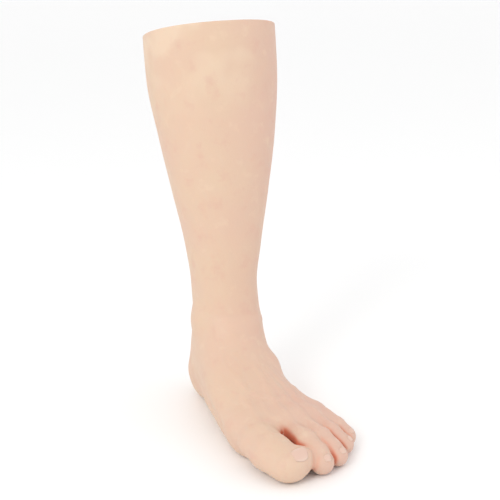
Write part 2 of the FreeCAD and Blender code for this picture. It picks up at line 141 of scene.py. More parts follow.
def skin_field(x, y, z):
    """Distance from the skin's outside, negative inside it."""
    p = (x, y, z)
    cy, medial, lateral, front, back = along(LEG, z)
    leg = carve(oval(x, y - cy, medial, lateral, front, back, 2.2, 2.15), LEG_LOW - z, 10)
    cx, cz, medial, lateral, below, above, lean = along(FOOT, y)
    leaning = x - cx + lean * np.clip((z - cz) / above, 0, 1.2)
    foot = oval(leaning, z - cz, medial, lateral, below, above, 3.2, 2.2)
    # the webs lie on a curve through the toes' roots, further forward under the foot
    webs = -126 + 20 * ((x - 8) / 50) ** 2 - np.clip(14 - z, 0, 14) * 0.5
    foot = carve(carve(foot, webs - y, 10), y - FOOT_END, 10)
    d = join(join(foot, egg(p, *HEEL_PAD), 12), leg, 18)
    # the toes melt into the foot behind the webs and stay apart in front of them
    blend = 2.5 + 11 * np.clip((y + 140 - 0.2 * x) / 22, 0, 1)
    for chain, flat in TOES:
        q = (x, y, z * flat)
        toe = 99.0
        for (ax, ay, az, ra), (bx, by, bz, rb) in zip(chain, chain[1:]):
            toe = join(toe, rod(q, (ax, ay, az * flat), (bx, by, bz * flat), ra, rb), 3)
        d = join(d, toe, blend)
    for sign, centre, radii, fillet in FORMS:
        d = (join if sign > 0 else carve)(d, sign * egg(p, centre, radii), fillet)
    return carve(d, SOLE - z, 2.5)


# toenails: toe, distance past the toe's last joint, half width, half length, roll to the lateral side;
# then how high the skin's fold stands round a nail, and how deep its bed is
NAILS = [(0, 8.0, 7.4, 5.6, 18), (1, 3.4, 3.6, 2.7, 6), (2, 3.0, 3.4, 2.4, 8), (3, 2.8, 3.1, 2.2, 10),
         (4, 2.4, 2.8, 2.0, 14)]
NAIL_FOLD, NAIL_BED = 0.4, 0.5
# skin folds: two ends, half width, depth. Three over the big toe's joints, three at the ankle's front
FOLDS = [((-20, -155, 29), (-7, -157.5, 28), 1.3, 0.8), ((-21, -151, 31), (-8, -153, 30), 1.2, 0.7),
         ((-27, -143, 32), (-14, -146, 34), 1.3, 0.35), ((-14, -34, 92), (8, -35, 90), 1.8, 0.6),
         ((-17, -38, 82), (10, -39, 79), 1.9, 0.7), ((-20, -44, 71), (6, -48, 70), 1.8, 0.6)]
# and two over each small toe's middle joint
for chain, _ in TOES[1:]:
    (kx, ky, kz, kr), (nx, ny, nz, _) = chain[1:3]
    for share in (0.0, 0.35):
        at = (kx + (nx - kx) * share, ky + (ny - ky) * share, kz + (nz - kz) * share + kr)
        FOLDS.append(((at[0] - 5, at[1] - 1.5, at[2]), (at[0] + 5, at[1] + 1, at[2]), 1.0, 0.4))
# veins under the skin: plan points, half width, height
VEINS = [([(-22, -22), (-24, -52), (-14, -84), (6, -98), (24, -92), (33, -72)], 2.4, 0.6),
         ([(-6, -90), (-8, -112), (-3, -124)], 2.0, 0.45), ([(24, -92), (29, -112)], 2.0, 0.45),
         ([(2, -60), (8, -78), (8, -97)], 2.2, 0.5)]


def nail_frame(toe, past, roll):
    """A nail's middle, its directions along the toe, across it and out of it, and the toe's radius."""
    (ax, ay, az, _), (bx, by, bz, radius) = TOES[toe][0][-2:]
    ahead = Vector((bx - ax, by - ay, (bz - az) * 0.75)).normalized()
    across = ahead.cross(Vector((0, 0, 1))).normalized()
    out = across.cross(ahead)
    turn = Matrix.Rotation(math.radians(-roll if across.x < 0 else roll), 3, ahead)
    middle = Vector((bx, by, bz)) + ahead * past
    return (*(np.array(v) for v in (middle, ahead, turn @ across, turn @ out)), radius)


def path_gap(x, y, path):
    """Distance in plan to a path of straight runs."""
    gap = np.full(len(x), 99.0)
    for (ax, ay), (bx, by) in zip(path, path[1:]):
        t = np.clip(((x - ax) * (bx - ax) + (y - ay) * (by - ay)) / ((bx - ax) ** 2 + (by - ay) ** 2), 0, 1)
        gap = np.minimum(gap, np.hypot(x - ax - t * (bx - ax), y - ay - t * (by - ay)))
    return gap


def gradient(field, points, step=0.5):
    """Outward direction of a field at these points."""
    slope = [field(*(points + step * axis).T) - field(*(points - step * axis).T) for axis in np.eye(3)]
    normal = np.stack(slope, 1)
    return normal / np.maximum(np.linalg.norm(normal, axis=1), 1e-9)[:, None]


def relief(points, normal):
    """Extra height, in millimetres, of tendons, veins, folds and nail beds on the skin."""
    x, y, z = points.T
    upward = np.clip(normal[:, 2] * 2 - 0.2, 0, 1)
    forefoot = np.clip((-y - 42) / 40, 0, 1) * upward
    height = np.zeros(len(points))
    for path, width, tall in TENDONS:
        height = np.maximum(height, tall * np.exp(-(path_gap(x, y, path) / width) ** 2) * forefoot)
    for path, width, tall in VEINS:
        height += tall * np.exp(-(path_gap(x, y, path) / width) ** 2) * upward
    for start, end, width, deep in FOLDS:
        a, d = np.array(start), np.array(end) - np.array(start)
        t = np.clip((points - a) @ d / (d @ d), 0, 1)
        gap = points - a - t[:, None] * d
        gap[:, 2] *= 0.4
        fade = np.sin(math.pi * np.clip(t * 0.9 + 0.05, 0, 1))
        height -= deep * fade * np.exp(-(np.linalg.norm(gap, axis=1) / width) ** 2)
    for toe, past, half, length, roll in NAILS:
        middle, ahead, across, out, _ = nail_frame(toe, past, roll)
        local = points - middle
        u, v = local @ across / half, local @ ahead / length
        above = (local @ out > 0) & (np.abs(u) < 2) & (np.abs(v) < 2)
        edge = (np.abs(u) ** 4 + np.abs(v) ** 4) ** 0.25
        fold = NAIL_FOLD * np.exp(-((edge - 1.12) / 0.14) ** 2) * (v < 0.75)
        bed = -NAIL_BED * np.clip((1.05 - edge) / 0.15, 0, 1)
        height += np.where(above, fold + bed, 0)
    return height


def mesh_field(field, xs, ys, zs):
    """Quads over the zero surface of a field sampled on a grid with these lines."""
    grid = field(*np.meshgrid(xs, ys, zs, indexing="ij"))
    inside = grid < 0
    count = sum(inside[i:i + grid.shape[0] - 1, j:j + grid.shape[1] - 1, k:k + grid.shape[2] - 1].astype(int)
                for i in (0, 1) for j in (0, 1) for k in (0, 1))
    cells = np.argwhere((count > 0) & (count < 8))
    index = np.full(count.shape, -1)
    index[tuple(cells.T)] = np.arange(len(cells))
    # a point in each crossed cell, at the mean of the places where its edges are crossed
    total, hits = np.zeros((len(cells), 3)), np.zeros(len(cells))
    for axis in range(3):
        others = [a for a in range(3) if a != axis]
        for u in (0, 1):
            for v in (0, 1):
                low = cells.copy()
                low[:, others[0]] += u
                low[:, others[1]] += v
                high = low.copy()
                high[:, axis] += 1
                a, b = grid[tuple(low.T)], grid[tuple(high.T)]
                crossed = (a < 0) != (b < 0)
                at = low.astype(float)
                at[:, axis] += np.where(crossed, a / np.where(crossed, a - b, 1), 0)
                total += at * crossed[:, None]
                hits += crossed
    where = total / hits[:, None]
    points = np.stack([np.interp(where[:, i], np.arange(len(line)), line)
                       for i, line in enumerate((xs, ys, zs))], 1)
    # a quad round each crossed edge, through the points of the four cells beside it
    faces = []
    for axis in range(3):
        u, v = (axis + 1) % 3, (axis + 2) % 3
        first, second = [slice(None)] * 3, [slice(None)] * 3
        first[axis], second[axis] = slice(0, -1), slice(1, None)
        edge = np.argwhere(inside[tuple(first)] != inside[tuple(second)])
        edge = edge[(edge[:, u] > 0) & (edge[:, v] > 0)
                    & (edge[:, u] < grid.shape[u] - 1) & (edge[:, v] < grid.shape[v] - 1)]
        ring = []
        for du, dv in ((1, 1), (0, 1), (0, 0), (1, 0)):
            c = edge.copy()
            c[:, u] -= du
            c[:, v] -= dv
            ring.append(index[tuple(c.T)])
        quads = np.stack(ring, 1)
        out = ~inside[tuple(edge.T)]
        quads[out] = quads[out][:, ::-1]
        faces.append(quads)
    return points, np.concatenate(faces)


def grid_line(*stops):
    """Grid line from (start, step), (start, step), ..., end."""
    line = []
    for (start, step), (end, *_) in zip(stops, stops[1:]):
        n = max(1, round((end - start) / step))
        line += list(np.linspace(start, end, n, endpoint=False))
    return np.array(line + [stops[-1][0]])


def settle(field, points, faces, rounds=3):
    """Evens out the mesh's points and puts them exactly on the field's surface."""
    edges = np.concatenate([faces[:, [i, (i + 1) % 4]] for i in range(4)])
    share = np.bincount(edges.ravel(), minlength=len(points))[:, None]
    for _ in range(rounds):
        total = np.zeros_like(points)
        np.add.at(total, edges[:, 0], points[edges[:, 1]])
        np.add.at(total, edges[:, 1], points[edges[:, 0]])
        points = 0.5 * points + 0.5 * total / share
        points = points - field(*points.T)[:, None] * gradient(field, points)
    return points


def add_object(name, bm):
    """Smooth object at the origin from a closed mesh in millimetres."""
    bmesh.ops.recalc_face_normals(bm, faces=bm.faces)
    bmesh.ops.scale(bm, vec=(0.001, 0.001, 0.001), verts=bm.verts)
    for face in bm.faces:
        face.smooth = True
    mesh = bpy.data.meshes.new(name)
    bm.to_mesh(mesh)
    bm.free()
    piece = bpy.data.objects.new(name, mesh)
    bpy.context.scene.collection.objects.link(piece)
    return piece


SKIN_THICK = 2.4
# the rim lies in a plane through this point, and falls this much in this run towards the back
RIM_Y, RIM_Z, RIM_FALL, RIM_RUN = 18, 341, 22, 120
RIM_POINT, RIM_NORMAL = Vector((0, RIM_Y, RIM_Z)), Vector((0, RIM_FALL, RIM_RUN)).normalized()
RIM_ROUND = 1.1
coarser = 1.0


def inside_field(x, y, z):
    """Distance from the skin's inside."""
    return skin_field(x, y, z) + SKIN_THICK


def rim_level(y, drop):
    """Height of a plane this far below the rim's, at y."""
    return RIM_Z - drop - RIM_FALL / RIM_RUN * (y - RIM_Y)


outer_points, outer_faces = mesh_field(
    skin_field, grid_line((-66, 1.7 * coarser), (72,)),
    grid_line((-188, 1.25 * coarser), (-95, 2.0 * coarser), (90,)),
    grid_line((-4, 1.25 * coarser), (48, 1.9 * coarser), (110, 2.6 * coarser), (364,)))
outer_points = settle(skin_field, outer_points, outer_faces)
normal = gradient(skin_field, outer_points)
# 7 mm out from open skin is 7 mm away from it, but less from skin in a cleft, which is given painted shade in
# dark red
open_air = skin_field(*(outer_points + 7 * normal).T)
outer_points = outer_points + relief(outer_points, normal)[:, None] * normal
inner_points, inner_faces = mesh_field(
    inside_field, grid_line((-66, 3), (72,)), grid_line((-188, 2.4), (-95, 3.2), (90,)),
    grid_line((-4, 2.5), (48, 4), (364,)))

bm = bmesh.new()
crease_shade_layer = bm.verts.layers.float.new("crease_shade")
for points, faces, flip, crease_shade in ((outer_points, outer_faces, False, np.clip(1 - open_air / 6.4, 0, 1)),
                                   (inner_points, inner_faces, True, np.zeros(len(inner_points)))):
    base = [bm.verts.new(p) for p in points]
    for vertex, value in zip(base, crease_shade):
        vertex[crease_shade_layer] = value
    for f in faces:
        bm.faces.new([base[i] for i in (f[::-1] if flip else f)])
# loops just under the rim's plane, which the rounding of the rim's edges then moves
for drop in (RIM_ROUND, 0.7, 0.35, 0.1, 0.0):
    bmesh.ops.bisect_plane(bm, geom=bm.verts[:] + bm.edges[:] + bm.faces[:], dist=0.001,
                           clear_outer=drop == 0, plane_co=RIM_POINT - RIM_NORMAL * drop,
                           plane_no=RIM_NORMAL)
near = [v for v in bm.verts if (v.co - RIM_POINT).dot(RIM_NORMAL) > -RIM_ROUND]
at = np.array([v.co for v in near])
away = gradient(skin_field, at)
depth = np.clip(-(at - np.array(RIM_POINT)) @ np.array(RIM_NORMAL), 0, RIM_ROUND)
shift = RIM_ROUND - np.sqrt(RIM_ROUND ** 2 - (RIM_ROUND - depth) ** 2)
shift *= np.where(skin_field(*at.T) > -SKIN_THICK / 2, -1, 1)
for vertex, place in zip(near, at + shift[:, None] * away):
    vertex.co = place
bmesh.ops.bridge_loops(bm, edges=[e for e in bm.edges if e.is_boundary])
skin = add_object("silicone_skin", bm)


class Finish:
    """A procedural material: its shader, its object coordinates and short ways to add nodes."""

    def __init__(self, name, **constants):
        self.material = bpy.data.materials.new(name)
        self.material.use_nodes = True
        self.tree = self.material.node_tree
        self.shader = self.tree.nodes["Principled BSDF"]
        for socket, value in constants.items():
            self.shader.inputs[socket.replace("_", " ")].default_value = value
        self.place = self.tree.nodes.new("ShaderNodeTexCoord").outputs["Object"]
        self.height = None

    def node(self, kind, links, **settings):
        made = self.tree.nodes.new("ShaderNode" + kind)
        for key, value in settings.items():
            setattr(made, key, value)
        for socket, value in links.items():
            if isinstance(value, bpy.types.NodeSocket):
                self.tree.links.new(value, made.inputs[socket])
            else:
                made.inputs[socket].default_value = value
        return made

    def xyz(self):
        return self.node("SeparateXYZ", {0: self.place}).outputs

    def noise(self, scale, detail=3.0, rough=0.5, at=None):
        links = {"Vector": at or self.place, "Scale": scale, "Detail": detail, "Roughness": rough}
        return self.node("TexNoise", links).outputs["Fac"]

    def cells(self, scale):
        return self.node("TexVoronoi", {"Vector": self.place, "Scale": scale}).outputs["Distance"]

    def stretch(self, x, y, z):
        return self.node("Mapping", {"Vector": self.place, "Scale": (x, y, z)}).outputs["Vector"]

    def span(self, value, low, high, to_low=0.0, to_high=1.0):
        links = {"Value": value, "From Min": low, "From Max": high, "To Min": to_low, "To Max": to_high}
        return self.node("MapRange", links).outputs["Result"]

    def math(self, operation, a, b=0.0):
        return self.node("Math", {0: a, 1: b}, operation=operation).outputs[0]

    def mix(self, factor, a, b):
        """Colour a where factor is 0, b where it is 1."""
        made = self.node("Mix", {}, data_type="RGBA")
        for index, value in ((0, factor), (6, a), (7, b)):
            if isinstance(value, bpy.types.NodeSocket):
                self.tree.links.new(value, made.inputs[index])
            else:
                made.inputs[index].default_value = value if index == 0 else (*value, 1)
        return made.outputs[2]

    def colour(self, value):
        self.tree.links.new(value, self.shader.inputs["Base Color"])

    def roughness(self, value):
        self.tree.links.new(value, self.shader.inputs["Roughness"])

    def bump(self, height, distance, strength=1.0):
        """Adds one more layer of bump, distance metres high."""
        links = {"Height": height, "Distance": distance, "Strength": strength}
        if self.height:
            links["Normal"] = self.height
        self.height = self.node("Bump", links).outputs["Normal"]
        self.tree.links.new(self.height, self.shader.inputs["Normal"])


def silicone_finish():
    """Skin-coloured silicone: tinted through its depth, mottled, satin. Its colour holds painted light: dark
    red painted shade in its folds and clefts, a painted highlight below the rim, and a darker, pinker lateral
    side that is partly painted shade and partly its own tone.
    """
    f = Finish("silicone_skin", Specular_IOR_Level=0.42, Subsurface_Weight=0.12, Subsurface_Scale=0.003,
               Subsurface_Radius=(1.0, 0.45, 0.28))
    x, y, z = f.xyz()
    broad, small = f.noise(16, 3), f.noise(70, 4, 0.6)
    base = f.mix(f.span(broad, 0.35, 0.65), (0.700, 0.488, 0.368), (0.705, 0.516, 0.376))
    # Painted shade, partly the skin's own pinker tone: the lateral side, away from the key lamp, is painted
    # darker and pinker.
    lateral = f.math("MULTIPLY", f.span(x, -0.012, 0.045), f.span(broad, 0.2, 0.8, 1.0, 0.6))
    base = f.mix(f.math("MULTIPLY", lateral, 0.8), base, (0.682, 0.445, 0.360))
    # Painted shade, partly the skin's own pinker tone: the lateral half of the forefoot's top is painted
    # darker and pinker still.
    lateral_forefoot_pink_and_shade = f.math("MULTIPLY", f.span(y, -0.02, -0.09), f.span(x, -0.02, 0.02))
    base = f.mix(f.math("MULTIPLY", lateral_forefoot_pink_and_shade, 0.35), base, (0.665, 0.415, 0.345))
    # Painted highlight: a pale, blotchy band round the top of the shank, just below the rim.
    pale = f.math("MULTIPLY", f.span(z, 0.27, 0.33), f.span(f.noise(22, 2), 0.5, 0.62))
    base = f.mix(f.math("MULTIPLY", pale, 0.7), base, (0.76, 0.59, 0.44))
    base = f.mix(f.span(small, 0.55, 0.75, 0.0, 0.5), base, (0.67, 0.41, 0.32))
    base = f.mix(f.span(small, 0.25, 0.42, 0.45, 0.0), base, (0.76, 0.58, 0.43))
    # Painted shade: the skin is painted pinker, then dark red, in its clefts and creases, the more hemmed in
    # the more so.
    crease_shade = f.node("Attribute", {}, attribute_name="crease_shade").outputs["Fac"]
    base = f.mix(f.span(crease_shade, 0.12, 0.45, 0.0, 0.55), base, (0.72, 0.36, 0.25))
    base = f.mix(f.span(crease_shade, 0.45, 0.95, 0.0, 0.9), base, (0.60, 0.17, 0.09))
    f.colour(base)
    f.roughness(f.span(f.noise(120, 3), 0.3, 0.7, 0.46, 0.6))
    f.bump(f.cells(900), 0.00012, 0.35)
    f.bump(f.noise(320, 4, 0.6), 0.00025, 0.4)
    return f.material


skin.data.materials.append(silicone_finish())
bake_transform(skin)
for node in ("skin_shank", "skin_ankle", "skin_foot"):
    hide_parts(node)

# ---- Toenails ----------------------------------------------------------------------------
# Five thin tinted acrylic plates, set into the silicone before it cures. Each follows its toe,
# with its root and sides under the skin fold and its front edge free.


def drop_on_skin(points, out):
    """Lowers points onto the skin's outside along -out."""
    for _ in range(14):
        points = points - skin_field(*points.T)[:, None] * out * 0.9
    return points


bm = bmesh.new()
nail_layer = bm.verts.layers.float.new("forward")
ACROSS, ALONG = 17, 15
for toe, past, half, length, roll in NAILS:
    middle, ahead, across, out, radius = nail_frame(toe, past, roll)
    stations = np.meshgrid(np.linspace(-1, 1, ACROSS), np.linspace(-1, 1, ALONG), indexing="ij")
    u, v = (line.ravel() for line in stations)
    side, front = u * np.sqrt(1 - 0.45 * v ** 2), v * np.sqrt(1 - 0.45 * u ** 2)
    over_toe = middle + side[:, None] * across * half + front[:, None] * ahead * length + out * (radius + 3)
    on_skin = drop_on_skin(over_toe, out)
    tucked = np.maximum(np.abs(u) ** 6, np.clip(-v, 0, 1) ** 6)
    free = np.clip(v, 0, 1) ** 8
    top = on_skin + out * (0.25 - 0.65 * tucked - 0.1 * free)[:, None] + ahead * (0.3 * free)[:, None]
    under = on_skin - out * (0.9 - 0.55 * free)[:, None] + ahead * (0.25 * free)[:, None]
    sheets = []
    for sheet in (top, under):
        sheets.append([bm.verts.new(p) for p in sheet])
        for vertex, value in zip(sheets[-1], v):
            vertex[nail_layer] = value
    grid = [[i * ALONG + j for j in range(ALONG)] for i in range(ACROSS)]
    for i in range(ACROSS - 1):
        for j in range(ALONG - 1):
            ring = (grid[i][j], grid[i + 1][j], grid[i + 1][j + 1], grid[i][j + 1])
            bm.faces.new([sheets[0][n] for n in ring])
            bm.faces.new([sheets[1][n] for n in reversed(ring)])
    border = ([grid[i][0] for i in range(ACROSS)] + [grid[-1][j] for j in range(1, ALONG)]
              + [grid[i][-1] for i in range(ACROSS - 2, -1, -1)]
              + [grid[0][j] for j in range(ALONG - 2, 0, -1)])
    for n, m in zip(border, border[1:] + border[:1]):
        bm.faces.new([sheets[0][m], sheets[0][n], sheets[1][n], sheets[1][m]])
nails = add_object("toenails", bm)


def nail_finish():
    """Tinted acrylic: pale half moon at the root, off-white free edge, fine ridges along it."""
    f = Finish("tinted_nail", Specular_IOR_Level=0.5, Coat_Weight=0.25, Coat_Roughness=0.3)
    forward = f.node("Attribute", {}, attribute_name="forward").outputs["Fac"]
    base = f.mix(f.noise(140, 2), (0.70, 0.465, 0.375), (0.72, 0.505, 0.405))
    base = f.mix(f.span(forward, -0.35, -0.75, 0.0, 0.4), base, (0.75, 0.57, 0.46))
    base = f.mix(f.span(forward, 0.72, 0.92, 0.0, 0.4), base, (0.77, 0.62, 0.51))
    f.colour(base)
    f.roughness(f.span(f.noise(500, 2), 0.3, 0.7, 0.28, 0.38))
    f.bump(f.noise(1, 2, at=f.stretch(2600, 260, 260)), 0.00008, 0.4)
    return f.material


nails.data.materials.append(nail_finish())
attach(nails, "foot")

# ---- Socket ------------------------------------------------------------------------------
# Carbon-fibre cloth laminated in resin over a plaster copy of the limb, 4 mm thick. The twill
# shows under a clear gloss coat, and a steel anchor disc is laminated into its end.

SOCKET_BOTTOM = 202
# height over its bottom, centre y, then half widths: medial, lateral, front, back
SOCKET = [(0, 10, 34, 34, 31, 34), (12, 11, 37, 37, 33.5, 38), (26, 13.5, 40, 40, 37, 42),
          (48, 16, 43, 43, 40, 49), (98, 18, 50, 47, 45, 56), (143, 18, 54, 47.5, 48.5, 56.5),
          (173, 18, 55, 48, 49, 57)]
TWILL_PITCH = 0.0032


def dress(material, *names):
    """Gives CAD nodes this material."""
    for name in names:
        for material_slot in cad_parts[name].material_slots:
            material_slot.material = material


def carbon_finish():
    """Twill cloth: two bands of fibre crossing at 45 degrees round the wall, under clear resin."""
    f = Finish("carbon_twill", Specular_IOR_Level=0.55, Coat_Weight=0.7, Coat_Roughness=0.08)
    x, y, z = f.xyz()
    middle_y, mean_radius = 0.016, 0.048
    turn = f.math("ARCTAN2", f.math("SUBTRACT", y, middle_y), x)
    round_wall = f.math("MULTIPLY", turn, mean_radius)
    one, two = (f.math("SINE", f.math("MULTIPLY", f.math(way, round_wall, z), 2 * math.pi / TWILL_PITCH))
                for way in ("ADD", "SUBTRACT"))
    over = f.span(f.math("SUBTRACT", one, two), -0.4, 0.4)
    strand = f.noise(1, 2, at=f.stretch(900, 900, 300))
    base = f.mix(over, (0.018, 0.018, 0.020), (0.060, 0.060, 0.064))
    f.colour(f.mix(f.span(strand, 0.4, 0.7, 0.0, 0.5), base, (0.10, 0.10, 0.105)))
    f.roughness(f.span(over, 0, 1, 0.32, 0.48))
    f.bump(over, 0.00006, 0.5)
    return f.material


dress(carbon_finish(), "socket")

# ---- Soft liner and its end pad ------------------------------------------------------------
# A 5 mm liner of soft foam with a knitted cover bonded to it, its brim turned over and stitched
# down in two rows, and a separate foam pad under its end. Both come out of the socket upwards.

LINER_CLEAR, LINER_WALL, LINER_FLOOR = 5.0, 4.8, 5.5
LINER_LOW, LINER_CORNER, BRIM_DROP, HEM = 221.0, 8.0, 3.6, 0.5
COLUMNS, COURSE = 220, 0.0011
TURNS = 120


def wall_point(angle, z, inset):
    """Point of the socket's form made smaller by inset, at a height and an angle."""
    z = np.broadcast_to(z, angle.shape)
    cy, medial, lateral, front, back = along(SOCKET, z - SOCKET_BOTTOM)
    c, s = np.cos(angle), np.sin(angle)
    wide, deep = np.where(c > 0, lateral, medial) - inset, np.where(s > 0, back, front) - inset
    r = ((np.abs(c) / wide) ** 2.2 + (np.abs(s) / deep) ** 2.2) ** (-1 / 2.2)
    return np.stack([r * c, cy + r * s, z], -1)


def brim_height(angle, inset, drop):
    """Height of the sloping brim at this angle."""
    z = np.full_like(angle, RIM_Z - 6.0)
    for _ in range(6):
        z = rim_level(wall_point(angle, z, inset)[..., 1], drop)
    return z


def ring_solid(name, rings, closed=False):
    """Closed mesh through rings of points; the first and last ring close on their middles."""
    made = bmesh.new()
    rows = [[made.verts.new(p) for p in ring] for ring in rings]
    for low, high in zip(rows, rows[1:] + (rows[:1] if closed else [])):
        for i in range(TURNS):
            j = (i + 1) % TURNS
            made.faces.new((low[i], low[j], high[j], high[i]))
    if not closed:
        for row, flip in ((rows[0], True), (rows[-1], False)):
            middle = made.verts.new(sum((v.co for v in row), Vector()) / TURNS)
            for i in range(TURNS):
                a, b = row[i], row[(i + 1) % TURNS]
                made.faces.new((middle, b, a) if flip else (middle, a, b))
    return add_object(name, made)


angles = np.linspace(0, 2 * math.pi, TURNS, endpoint=False)
brim = brim_height(angles, LINER_CLEAR, BRIM_DROP)
levels = np.linspace(0, 1, 46)
corner = np.linspace(0.2, 1.4, 6)
turned_over = np.linspace(0.35, math.pi - 0.35, 7)
inside, roll = LINER_CLEAR + LINER_WALL, LINER_WALL / 2
wall_low, cup_low = LINER_LOW + LINER_CORNER, LINER_LOW + LINER_CORNER + 6
# underside and its corner, outside, brim, inside, and the cup's corner and floor
rings = [wall_point(angles, LINER_LOW, LINER_CLEAR + LINER_CORNER + g) for g in (14, 7, 0)]
rings += [wall_point(angles, wall_low - LINER_CORNER * math.cos(t),
                     LINER_CLEAR + LINER_CORNER * (1 - math.sin(t))) for t in corner]
rings += [wall_point(angles, wall_low + (brim - wall_low) * t, LINER_CLEAR) for t in levels]
rings += [wall_point(angles, brim + roll * math.sin(t), LINER_CLEAR + roll * (1 - math.cos(t)))
          for t in turned_over]
rings += [wall_point(angles, cup_low + (brim - cup_low) * t, inside + HEM * (t > 0.9)) for t in levels[::-1]]
rings += [wall_point(angles, cup_low - LINER_CORNER * math.sin(t),
                     inside + LINER_CORNER * (1 - math.cos(t))) for t in corner]
rings += [wall_point(angles, LINER_LOW + LINER_FLOOR, inside + LINER_CORNER + g) for g in (0, 6, 11)]
liner = ring_solid("soft_liner", rings)


def knit_finish():
    """Fine beige knit: columns of loops round the wall, rows of loops up it."""
    f = Finish("liner_knit", Specular_IOR_Level=0.25, Sheen_Weight=0.35, Sheen_Roughness=0.5)
    x, y, z = f.xyz()
    middle_y = 0.017
    turn = f.math("ARCTAN2", f.math("SUBTRACT", y, middle_y), x)
    column = f.math("SINE", f.math("MULTIPLY", turn, COLUMNS))
    course = f.math("ADD", f.math("MULTIPLY", z, 2 * math.pi / COURSE), f.math("MULTIPLY", column, 0.9))
    loops = f.math("MULTIPLY", f.span(f.math("SINE", course), -1, 1), f.span(column, -1, 0.2))
    base = f.mix(f.noise(45, 3), (0.62, 0.49, 0.37), (0.70, 0.57, 0.44))
    # Painted shade: the knit is painted darker between its loops, where its bump is lowest.
    f.colour(f.mix(f.span(loops, 0, 1, 0.55, 0.0), base, (0.42, 0.31, 0.22)))
    f.roughness(f.span(f.noise(300, 2), 0.3, 0.7, 0.8, 0.95))
    f.bump(loops, 0.0003, 0.8)
    return f.material


liner.data.materials.append(knit_finish())
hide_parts("liner")
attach(liner, "liner")

PAD_LOW, PAD_HIGH, PAD_ROUND = 212.9, 220.2, 2.6
pad_middle, pad_half = (PAD_LOW + PAD_HIGH) / 2, (PAD_HIGH - PAD_LOW) / 2
# flat underside, rounded edge, and a top that rises a little to its middle
rings = [wall_point(angles, PAD_LOW, LINER_CLEAR + g) for g in (20, 12, PAD_ROUND)]
rings += [wall_point(angles, pad_middle + pad_half * math.sin(t), LINER_CLEAR + PAD_ROUND * (1 - math.cos(t)))
          for t in np.linspace(-1.2, 1.2, 9)]
rings += [wall_point(angles, PAD_HIGH + rise, LINER_CLEAR + g)
          for g, rise in ((PAD_ROUND, 0), (8, 0.2), (14, 0.35), (22, 0.4))]
pad = ring_solid("end_pad", rings)


def foam_finish(name, dark, light, cell):
    """Open-cut foam: rounded cells of one size, darker in their hollows."""
    f = Finish(name, Specular_IOR_Level=0.25)
    hollow = f.span(f.cells(1 / cell), 0.1, 0.6)
    base = f.mix(f.noise(30, 3), dark, light)
    shade = tuple(0.78 * c for c in dark)
    f.colour(f.mix(f.span(hollow, 0.0, 0.5, 0.45, 0.0), base, shade))
    f.roughness(f.span(f.noise(200, 2), 0.3, 0.7, 0.82, 0.95))
    f.bump(hollow, cell * 0.25, 0.7)
    return f.material


pad.data.materials.append(foam_finish("pad_foam", (0.50, 0.38, 0.30), (0.56, 0.44, 0.35), 0.0011))
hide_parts("distal_pad")
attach(pad, "liner")

# ---- Brim stitches -------------------------------------------------------------------------
# Two rows of machine stitches round the inside of the liner's brim, in a slightly darker thread.
# They hold the knit's turned-over edge down.

STITCH = {"Pitch": 0.0034, "Stitch Length": 0.0024, "Thread": 0.00035}
STITCH_ROWS = (6.0, 9.0)


def stitch_tree(material):
    """Puts one rounded stitch every pitch along the rows it is given."""
    tree = bpy.data.node_groups.new("brim_stitches", "GeometryNodeTree")
    face = tree.interface
    face.new_socket("Rows", in_out="INPUT", socket_type="NodeSocketGeometry")
    for label, value in STITCH.items():
        face.new_socket(label, in_out="INPUT", socket_type="NodeSocketFloat").default_value = value
    face.new_socket("Stitches", in_out="OUTPUT", socket_type="NodeSocketGeometry")

    def add(kind, links, **settings):
        node = tree.nodes.new(kind)
        for key, value in settings.items():
            setattr(node, key, value)
        for socket, value in links.items():
            if isinstance(value, bpy.types.NodeSocket):
                tree.links.new(value, node.inputs[socket])
            else:
                node.inputs[socket].default_value = value
        return node

    given = tree.nodes.new("NodeGroupInput").outputs
    row = add("GeometryNodeMeshToCurve", {"Mesh": given["Rows"]})
    spaced = add("GeometryNodeResampleCurve", {"Curve": row.outputs[0], "Length": given["Pitch"]},
                 mode="LENGTH")
    points = add("GeometryNodeCurveToPoints", {"Curve": spaced.outputs[0]}, mode="EVALUATED")
    stitch = add("GeometryNodeMeshUVSphere", {"Segments": 6, "Rings": 5, "Radius": 0.5})
    size = add("ShaderNodeCombineXYZ",
               {"X": given["Thread"], "Y": given["Thread"], "Z": given["Stitch Length"]})
    turn = add("FunctionNodeAlignRotationToVector", {"Vector": points.outputs["Tangent"]}, axis="Z")
    laid = add("GeometryNodeInstanceOnPoints",
               {"Points": points.outputs["Points"], "Instance": stitch.outputs["Mesh"],
                "Rotation": turn.outputs[0], "Scale": size.outputs[0]})
    real = add("GeometryNodeRealizeInstances", {"Geometry": laid.outputs[0]})
    done = add("GeometryNodeSetMaterial", {"Geometry": real.outputs[0], "Material": material})
    out = tree.nodes.new("NodeGroupOutput")
    tree.links.new(done.outputs[0], out.inputs["Stitches"])
    return tree


def thread_finish():
    """Spun thread: matt, with fine fibres."""
    f = Finish("stitch_thread", Specular_IOR_Level=0.3, Sheen_Weight=0.3)
    f.colour(f.mix(f.noise(900, 2), (0.42, 0.30, 0.21), (0.52, 0.39, 0.28)))
    f.roughness(f.span(f.noise(1500, 2), 0.3, 0.7, 0.7, 0.9))
    f.bump(f.noise(2500, 2), 0.00005, 0.5)
    return f.material


